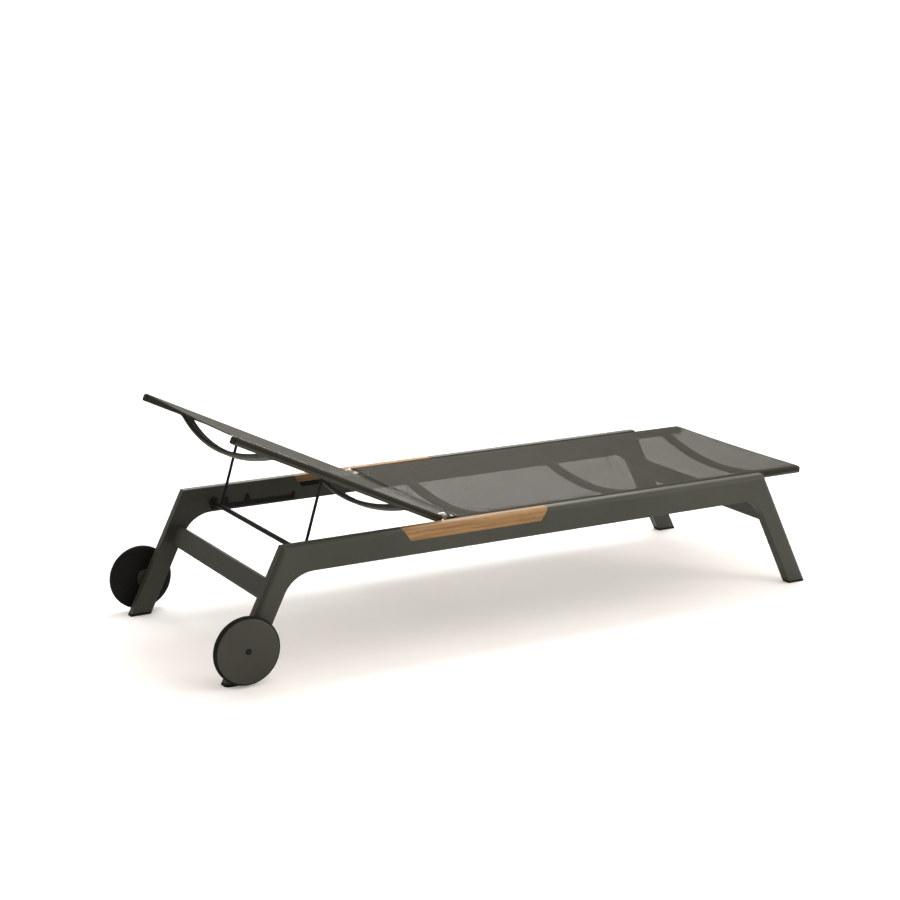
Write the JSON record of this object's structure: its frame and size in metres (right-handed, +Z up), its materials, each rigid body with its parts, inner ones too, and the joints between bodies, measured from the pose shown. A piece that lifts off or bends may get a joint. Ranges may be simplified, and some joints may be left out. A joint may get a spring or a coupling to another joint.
{
  "type": "sun lounger",
  "caption": "Reclining sun lounger with splayed side frames, wooden rail inserts, mesh sling, adjustable hinged backrest on a prop stay, and wheels at the head end.",
  "frame": {"origin": "middle of the bounding box's footprint, on the ground under the glides", "axes": "+X to the lounger's right, +Y from the head end (wheels) to the foot end, +Z up"},
  "size_m": [0.783, 1.9974, 0.6641],
  "materials": {
    "frame_paint": "matt powder coat on aluminium, warm olive grey",
    "stay_paint": "matt powder coat on steel, darker grey",
    "teak": "oiled teak with straight grain",
    "black_plastic": "fine moulded texture, black",
    "wheel_plastic": "satin moulded disc, warm grey",
    "tyre": "soft black tyre",
    "stainless": "stainless steel",
    "mesh": "woven coated outdoor mesh, warm grey"
  },
  "bodies": {
    "frame": {"axle_nuts": "black_plastic", "axles": "stay_paint", "bracket_screws": "stay_paint", "foot_crossbar": "frame_paint", "foot_leg_left": "frame_paint", "foot_leg_right": "frame_paint", "glide_foot_left": "black_plastic", "glide_foot_right": "black_plastic", "glide_head_left": "black_plastic", "glide_head_right": "black_plastic", "head_crossbar": "frame_paint", "head_leg_left": "frame_paint", "head_leg_right": "frame_paint", "hinge_pins": "stainless", "insert_cradle_left": "black_plastic", "insert_cradle_right": "black_plastic", "insert_screws": "stay_paint", "rack_left": "stay_paint", "rack_right": "stay_paint", "rack_screws": "stay_paint", "seat_brackets": "frame_paint", "seat_hinge_bolts": "stainless", "seat_hinge_lug_left": "stainless", "seat_hinge_lug_right": "stainless", "seat_rib_foot": "frame_paint", "seat_rib_head": "frame_paint", "seat_rib_middle": "frame_paint", "seat_sling": "mesh", "seat_tube_left": "frame_paint", "seat_tube_plugs": "black_plastic", "seat_tube_right": "frame_paint", "side_rail_left": "frame_paint", "side_rail_right": "frame_paint", "wheel_bracket_bolts": "stay_paint", "wheel_brackets": "frame_paint", "wood_insert_left": "teak", "wood_insert_right": "teak"},
    "backrest": {"back_hinge_bolts": "stainless", "back_hinge_lug_left": "stainless", "back_hinge_lug_right": "stainless", "back_rib_lower": "frame_paint", "back_rib_upper": "frame_paint", "back_sling": "mesh", "back_tube_left": "frame_paint", "back_tube_plugs": "black_plastic", "back_tube_right": "frame_paint", "stay_pins": "stay_paint"},
    "stay": {"stay_bar": "stay_paint", "stay_bar_plugs": "black_plastic", "stay_strut_left": "stay_paint", "stay_strut_right": "stay_paint"},
    "wheel_left": {"tyre_left": "tyre", "wheel_bush_left": "black_plastic", "wheel_core_left": "black_plastic", "wheel_cover_left": "wheel_plastic"},
    "wheel_right": {"tyre_right": "tyre", "wheel_bush_right": "black_plastic", "wheel_core_right": "black_plastic", "wheel_cover_right": "wheel_plastic"}
  },
  "joints": [
    {"name": "recline", "type": "hinge", "parent": "frame", "child": "backrest", "pos_m": [0, -0.25518, 0.359], "axis": [1, 0, 0], "range_deg": [0, 25.6]},
    {"name": "stay_swing", "type": "hinge", "parent": "backrest", "child": "stay", "pos_m": [0, -0.62277, 0.52215], "axis": [1, 0, 0], "range_deg": [0, 71.41]},
    {"name": "wheel_left_spin", "type": "hinge", "parent": "frame", "child": "wheel_left", "pos_m": [-0.38, -0.90368, 0.1005], "axis": [1, 0, 0], "continuous": true},
    {"name": "wheel_right_spin", "type": "hinge", "parent": "frame", "child": "wheel_right", "pos_m": [0.38, -0.90368, 0.1005], "axis": [1, 0, 0], "continuous": true}
  ],
  "couplings": [
    {"joint": "stay_swing", "follows": "recline", "ratio": 2.7815}
  ]
}
